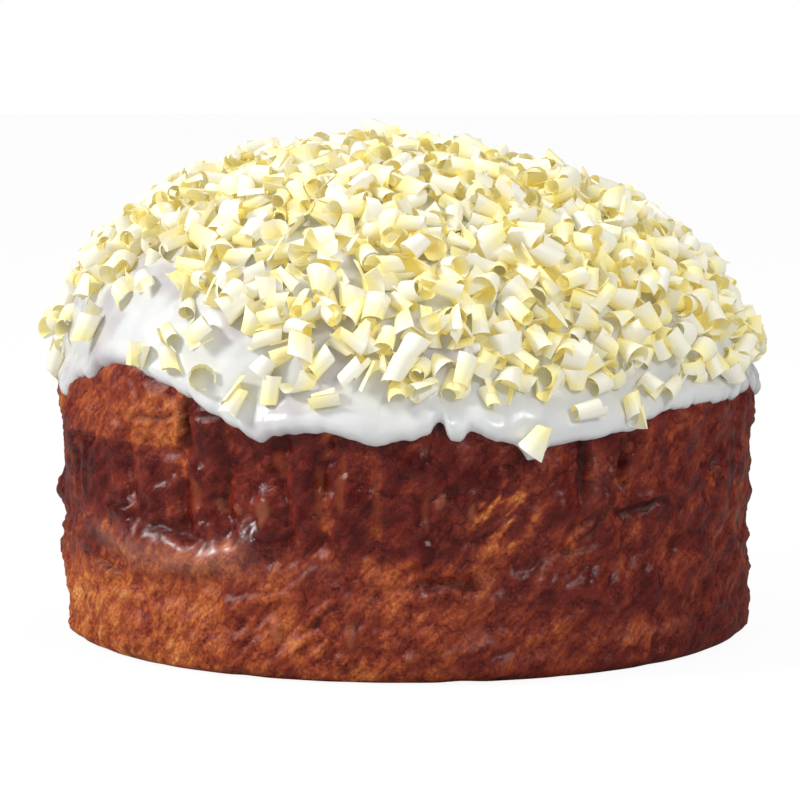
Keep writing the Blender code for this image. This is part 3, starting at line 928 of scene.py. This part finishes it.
# %% [markdown]
# The curls were strewn by hand, so they lie in a loose heap, each resting on those below. A full
# simulation of hundreds of thin curls would be slow. Instead, the dome is laid out as a flat chart that
# remembers how high the heap stands at each spot. A curl comes down along the normal until it meets that
# height, and of several tries the one that settles lowest is kept.

# %% A flat chart of the dome
CHART_STEP = 0.6
CHART_HALF = 260


def travel_table():
    """Polar angles and the mean travel along the skin to each of them, in millimetres."""
    polars = np.radians(np.arange(0, 84, 1.0))
    travel = np.zeros(len(polars))
    for bearing in np.radians(np.arange(0, 360, 45)):
        places = np.array([skin(bearing, polar)[0] for polar in polars])
        steps = np.linalg.norm(np.diff(places, axis=0), axis=1) / MM
        travel[1:] += np.cumsum(steps) / 8
    return polars, travel


POLARS, TRAVELS = travel_table()


def chart_place(bearing, polar):
    travel = float(np.interp(polar, POLARS, TRAVELS))
    return travel * math.sin(bearing), -travel * math.cos(bearing)


def icing_place(across, down):
    """The icing's place and the skin's normal at a spot on the chart, and the chart's stretch there."""
    travel = math.hypot(across, down)
    bearing, polar = math.atan2(across, -down), float(np.interp(travel, TRAVELS, POLARS))
    place = ICING_TREE.ray_cast(CORE + direction(bearing, polar) * 0.4, -direction(bearing, polar))[0]
    ground, normal = skin(bearing, polar)
    reach = math.hypot(ground.x - CORE.x, ground.y - CORE.y) / MM
    return place, normal, bearing, travel / max(reach, 1.0)


def heap_limits():
    """How far the frame's heap reaches at each sampled bearing, as travel in millimetres."""
    reach = np.zeros(SAMPLES)
    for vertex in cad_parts["curl_heap"].data.vertices:
        number = sample_number(bearing_of(vertex.co))
        reach[number] = max(reach[number], np.interp(polar_of(vertex.co), POLARS, TRAVELS))
    return reach


def icing_limit(bearing):
    """How far the icing reaches at this bearing, as travel in millimetres."""
    return float(np.interp(polar_at_height(bearing, icing_end(bearing)), POLARS, TRAVELS))


HEAP_REACH = heap_limits()
ICING_REACH = [icing_limit(math.radians(360 / SAMPLES * number)) for number in range(SAMPLES)]
print("the heap reaches", HEAP_REACH.min().round(1), "to", HEAP_REACH.max().round(1), "mm from the top")

# %% Strew the curls
CURL_COUNT = 1350
TRIES = 8
# In millimetres: how far from the top curls are tried, the clear space round each loose curl and the
# height that marks it on the chart, and how far each curl sinks in.
STREW_REACH = 122
CLEARANCE = 6.5
BLOCKED = 60
SUNK = 0.7
STREW_DICE = random.Random(2024)
heap_height = np.zeros((2 * CHART_HALF, 2 * CHART_HALF))
ALONG, OVER = np.meshgrid(np.linspace(0, 1, 26), np.linspace(-0.5, 0.5, 17))
ALONG, OVER = ALONG.ravel(), OVER.ravel()


def fullness(across, down):
    """How high the curls should stand here, in millimetres: the heap, and strays on the bare icing."""
    travel = math.hypot(across, down)
    bearing = math.atan2(across, -down)
    number = sample_number(bearing)
    ragged = 5 * noise.noise(Vector((across / 9, down / 9, 3)))
    inside = 1 - float(fade(travel, HEAP_REACH[number] - 7 + ragged, HEAP_REACH[number] + 3 + ragged))
    patchy = 1 + 0.9 * noise.noise(Vector((across / 17, down / 17, 8)))
    heap = inside * patchy * (5.6 - 2.6 * travel / 110)
    sparse = 0.30 * hump(math.degrees(bearing), -55, 30) - 0.35 * hump(math.degrees(bearing), 32, 38)
    stray = noise.noise(Vector((across / 6, down / 6, 5))) > 0.12 + sparse
    return max(heap, 1.6 if stray and travel < ICING_REACH[number] - 3.5 else 0.0)


def loose_turn(dice):
    """A curl lies on its side, more or less, and is turned and rolled any way round."""
    lying = Matrix.Rotation(math.pi / 2, 3, "X")
    roll = Matrix.Rotation(dice.uniform(0, 2 * math.pi), 3, "Z")
    tilt = Matrix.Rotation(math.radians(dice.gauss(0, 34)), 3, "X")
    yaw = Matrix.Rotation(dice.uniform(0, 2 * math.pi), 3, "Z")
    return yaw @ tilt @ lying @ roll


def chart_cells(spots, across, down, stretch):
    """The chart cells under a curl's points. The chart is stretched round the dome, away from its top."""
    radial = np.array([across, down]) / max(math.hypot(across, down), 1e-6)
    round_it = np.array([-radial[1], radial[0]])
    flat = np.array([across, down]) + spots[:, :1] * radial + spots[:, 1:2] * stretch * round_it
    cells = np.round(flat / CHART_STEP).astype(int) + CHART_HALF
    return np.clip(cells, 0, 2 * CHART_HALF - 1)


def block_out(node):
    """Keeps the strewn curls off a loose curl that the frame already has."""
    low, high = (Vector(corner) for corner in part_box(node))
    middle = (low + high) / 2
    across, down = chart_place(bearing_of(middle), polar_of(middle))
    rows, columns = np.indices(heap_height.shape)
    gap = np.hypot((rows - CHART_HALF) * CHART_STEP - across, (columns - CHART_HALF) * CHART_STEP - down)
    heap_height[gap < CLEARANCE] = BLOCKED


LOOSE = sorted(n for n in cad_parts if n.startswith("curl_") and n != "curl_heap")
for loose_node in LOOSE:
    block_out(loose_node)


def settle(curl, dice):
    """The best of several places: (score, cells, heights, lift, chart place, turn)."""
    best = None
    spread = curl.roll(ALONG, OVER)
    spread = spread - curl.roll(np.linspace(0, 1, 30), np.zeros(30)).mean(axis=0)
    for _ in range(TRIES):
        travel = STREW_REACH * math.sqrt(dice.uniform(0, 1))
        bearing = dice.uniform(-math.pi, math.pi)
        across, down = travel * math.sin(bearing), -travel * math.cos(bearing)
        wanted = fullness(across, down)
        if wanted < 1.2:
            continue
        turn = loose_turn(dice)
        spots = spread @ np.array(turn).T
        stretch = max(travel, 1) / max(SKIN_RADIUS / MM * math.sin(min(travel / 82, 1.5)), 1)
        cells = chart_cells(spots, across, down, stretch)
        under = heap_height[cells[:, 0], cells[:, 1]]
        lift = float(np.percentile(under - spots[:, 2], 82))
        top = lift + float(spots[:, 2].max())
        score = (lift - 2.0) / wanted + 0.08 * top
        if top < 6.5 + 0.9 * wanted and (best is None or score < best[0]):
            best = (score, cells, spots[:, 2], lift, (across, down), turn)
    return best


placed = []
for _ in range(2 * CURL_COUNT):
    if len(placed) == CURL_COUNT:
        break
    kind = STREW_DICE.choices(list(CURL_SHARES), list(CURL_SHARES.values()))[0]
    curl = Curl(kind, STREW_DICE)
    best = settle(curl, STREW_DICE)
    if best is None:
        continue
    _, cells, heights, lift, spot_place, turn = best
    np.maximum.at(heap_height, (cells[:, 0], cells[:, 1]), lift + heights + 0.3)
    placed.append((curl, spot_place, turn, lift))
print("strewn:", len(placed), "heap up to", round(float(heap_height[heap_height < BLOCKED].max()), 1), "mm")


# %% Make the strewn curls, one piece for each kind
def lay(mesh, spot_place, turn, lift):
    """Moves a curl's mesh to its place on the icing, and says how deep in the heap its points lie."""
    place, normal, bearing, stretch = icing_place(*spot_place)
    spots = np.array([vertex.co for vertex in mesh.verts]) @ np.array(turn).T / MM
    cells = chart_cells(spots, *spot_place, stretch)
    above = heap_height[cells[:, 0], cells[:, 1]] - lift - spots[:, 2]
    outward = direction(bearing, math.pi / 2)
    outward = (outward - normal * outward.dot(normal)).normalized()
    frame_axes = Matrix((outward, normal.cross(outward), normal)).transposed()
    spot_matrix = (frame_axes @ turn).to_4x4()
    spot_matrix.translation = place + normal * (lift - SUNK) * MM
    bmesh.ops.transform(mesh, matrix=spot_matrix, verts=mesh.verts)
    # How deep a point lies sets how much painted bounce light, a saturated yellow, it gets.
    return fade(above, 1.0, 6.0) * (above < 20)


def append_to(whole, part, values, hollow, deep, batch):
    """Adds one curl to a piece's mesh, and its points' values to the piece's."""
    values += [(inside, depth, batch) for inside, depth in zip(hollow, deep, strict=True)]
    data = bpy.data.meshes.new("one curl")
    part.to_mesh(data)
    part.free()
    whole.from_mesh(data)
    bpy.data.meshes.remove(data)


for kind in CURL_KINDS:
    whole, values = bmesh.new(), []
    for curl, spot_place, turn, lift in placed:
        if curl.kind == kind:
            part, hollow = curl_mesh(curl)
            deep = lay(part, spot_place, turn, lift)
            append_to(whole, part, values, hollow, deep, STREW_DICE.random())
    piece = finish_piece(kind, whole, CHOCOLATE, 40)
    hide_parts("curl_heap")
    for name, column in zip(("hollow", "deep", "batch"), np.array(values).T, strict=True):
        set_values(piece, name, column)

# %% [markdown]
# The loose curls lie where the frame has them. Each is made afresh as a tight roll, an open curl or a
# horn, about the same middle and the same axis, and then comes down onto the icing. The axis is the
# direction that the solid's faces look along the least, as on any roll.


# %% The loose curls
def curl_axis(node):
    """The middle of a loose curl of the frame, and the axis that it is rolled about."""
    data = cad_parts[node].data
    spread, middle, area = np.zeros((3, 3)), Vector(), 0.0
    for face in data.polygons:
        spread += face.area * np.outer(face.normal, face.normal)
        middle += face.center * face.area
        area += face.area
    return middle / area, Vector(np.linalg.eigh(spread)[1][:, 0])


def lie_like(part, node, roll):
    """Lays a new curl where the frame has one, down on the icing."""
    middle, axis = curl_axis(node)
    _, up = skin(bearing_of(middle), polar_of(middle))
    sideways = up.cross(axis).normalized()
    turned = Matrix((sideways, axis.cross(sideways), axis)).transposed() @ Matrix.Rotation(roll, 3, "Z")
    place = turned.to_4x4()
    place.translation = middle
    bmesh.ops.transform(part, matrix=place, verts=part.verts)
    gaps = []
    for vertex in part.verts:
        start = vertex.co + up * 20 * MM
        hits = [tree.ray_cast(start, -up)[0] for tree in (ICING_TREE, crust_tree)]
        gaps += [(vertex.co - hit).dot(up) for hit in hits if hit is not None]
    bmesh.ops.translate(part, vec=-up * (min(gaps) + 0.5 * MM), verts=part.verts)


whole, values = bmesh.new(), []
for loose_node in LOOSE:
    kind = STREW_DICE.choices(("tight_rolls", "open_curls", "horns"), (0.4, 0.4, 0.2))[0]
    part, hollow = curl_mesh(Curl(kind, STREW_DICE))
    lie_like(part, loose_node, STREW_DICE.uniform(0, 2 * math.pi))
    append_to(whole, part, values, hollow, np.zeros(len(hollow)), STREW_DICE.random())
loose_piece = finish_piece("loose_curls", whole, CHOCOLATE, 40)
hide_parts(*LOOSE)
for name, column in zip(("hollow", "deep", "batch"), np.array(values).T, strict=True):
    set_values(loose_piece, name, column)

# %% [markdown]
# ## Floor, light and camera
#
# The setting is a plain white studio, and the floor catches a soft shadow. The key light stands high on
# the left, where it draws the sheen along the ridges, a weaker one stands at the front right, and a wide
# one hangs above. The white room fills in the rest, but glossy rays see it much darker, or its haze
# would turn the dark crust grey. A long lens at table height, tilted a little down, keeps the side
# upright.


# %% The floor
def make_floor():
    made, tree, shader = new_material("studio floor")
    path = add_node(tree, "ShaderNodeLightPath")
    grey = maths(tree, "MULTIPLY_ADD", path.outputs["Is Glossy Ray"], -0.42, 0.62)
    tree.links.new(grey, shader.inputs["Base Color"])
    shader.inputs["Roughness"].default_value = 0.9
    glow = add_node(tree, "ShaderNodeEmission")
    glow.inputs["Color"].default_value = (1, 1, 1, 1)
    glow.inputs["Strength"].default_value = 1.06
    mixer = add_node(tree, "ShaderNodeMixShader")
    tree.links.new(maths(tree, "MULTIPLY", path.outputs["Is Camera Ray"], 0.88), mixer.inputs[0])
    tree.links.new(shader.outputs[0], mixer.inputs[1])
    tree.links.new(glow.outputs[0], mixer.inputs[2])
    tree.links.new(mixer.outputs[0], tree.nodes["Material Output"].inputs["Surface"])
    mesh = bmesh.new()
    bmesh.ops.create_circle(mesh, cap_ends=True, segments=96, radius=4.0)
    data = bpy.data.meshes.new("floor")
    mesh.to_mesh(data)
    mesh.free()
    data.materials.append(made)
    floor = bpy.data.objects.new("floor", data)
    bpy.context.scene.collection.objects.link(floor)


make_floor()


# %% The lights and the white room
def area_light(name, place, size, power, colour=(1, 1, 1)):
    lamp = bpy.data.lights.new(name, "AREA")
    lamp.shape = "SQUARE"
    lamp.size = size
    lamp.energy = power
    lamp.color = colour
    made = bpy.data.objects.new(name, lamp)
    made.location = place
    made.rotation_euler = (Vector((0, 0, 0.07)) - Vector(place)).to_track_quat("-Z", "Y").to_euler()
    bpy.context.scene.collection.objects.link(made)


area_light("key light", (-1.18, -0.42, 0.88), 0.30, 13.5, (1.0, 0.99, 0.98))
area_light("right light", (0.75, -0.95, 0.80), 0.25, 4.5, (1.0, 1.0, 1.0))
area_light("top light", (0.10, 0.10, 1.5), 1.0, 4.0, (0.97, 0.985, 1.0))


def make_room():
    room = bpy.data.worlds.new("white room")
    room.use_nodes = True
    tree = room.node_tree
    backdrop = tree.nodes["Background"]
    backdrop.inputs["Color"].default_value = (1, 1, 1, 1)
    path = add_node(tree, "ShaderNodeLightPath")
    seen = maths(tree, "MAXIMUM", path.outputs["Is Camera Ray"], path.outputs["Is Transmission Ray"])
    split = add_node(tree, "ShaderNodeSeparateXYZ")
    tree.links.new(add_node(tree, "ShaderNodeTexCoord").outputs["Generated"], split.inputs[0])
    upward = maths(tree, "MAXIMUM", split.outputs["Z"], 0.0)
    glow = maths(tree, "MULTIPLY_ADD", upward, 0.24, 0.45)
    dimmer = maths(tree, "MULTIPLY_ADD", path.outputs["Is Glossy Ray"], -0.82, 1.0)
    glow = maths(tree, "MULTIPLY", glow, dimmer)
    strength = maths(tree, "MULTIPLY_ADD", maths(tree, "SUBTRACT", 1.0, glow), seen, glow)
    tree.links.new(strength, backdrop.inputs["Strength"])
    bpy.context.scene.world = room


make_room()
bpy.context.scene.view_settings.view_transform = "Standard"

# %% The camera
CAMERA_DISTANCE = 1.15
CAMERA_TILT = math.radians(6.3)
AIM = Vector((-0.0015, 0, 0.0661))
FRAME_WIDTH = 0.2332

lens = bpy.data.cameras.new("camera")
lens.sensor_width = 36
lens.lens = 36 * CAMERA_DISTANCE / FRAME_WIDTH
camera = bpy.data.objects.new("camera", lens)
camera.location = AIM + CAMERA_DISTANCE * Vector((0, -math.cos(CAMERA_TILT), math.sin(CAMERA_TILT)))
camera.rotation_euler = (math.pi / 2 - CAMERA_TILT, 0, 0)
bpy.context.scene.collection.objects.link(camera)
bpy.context.scene.camera = camera
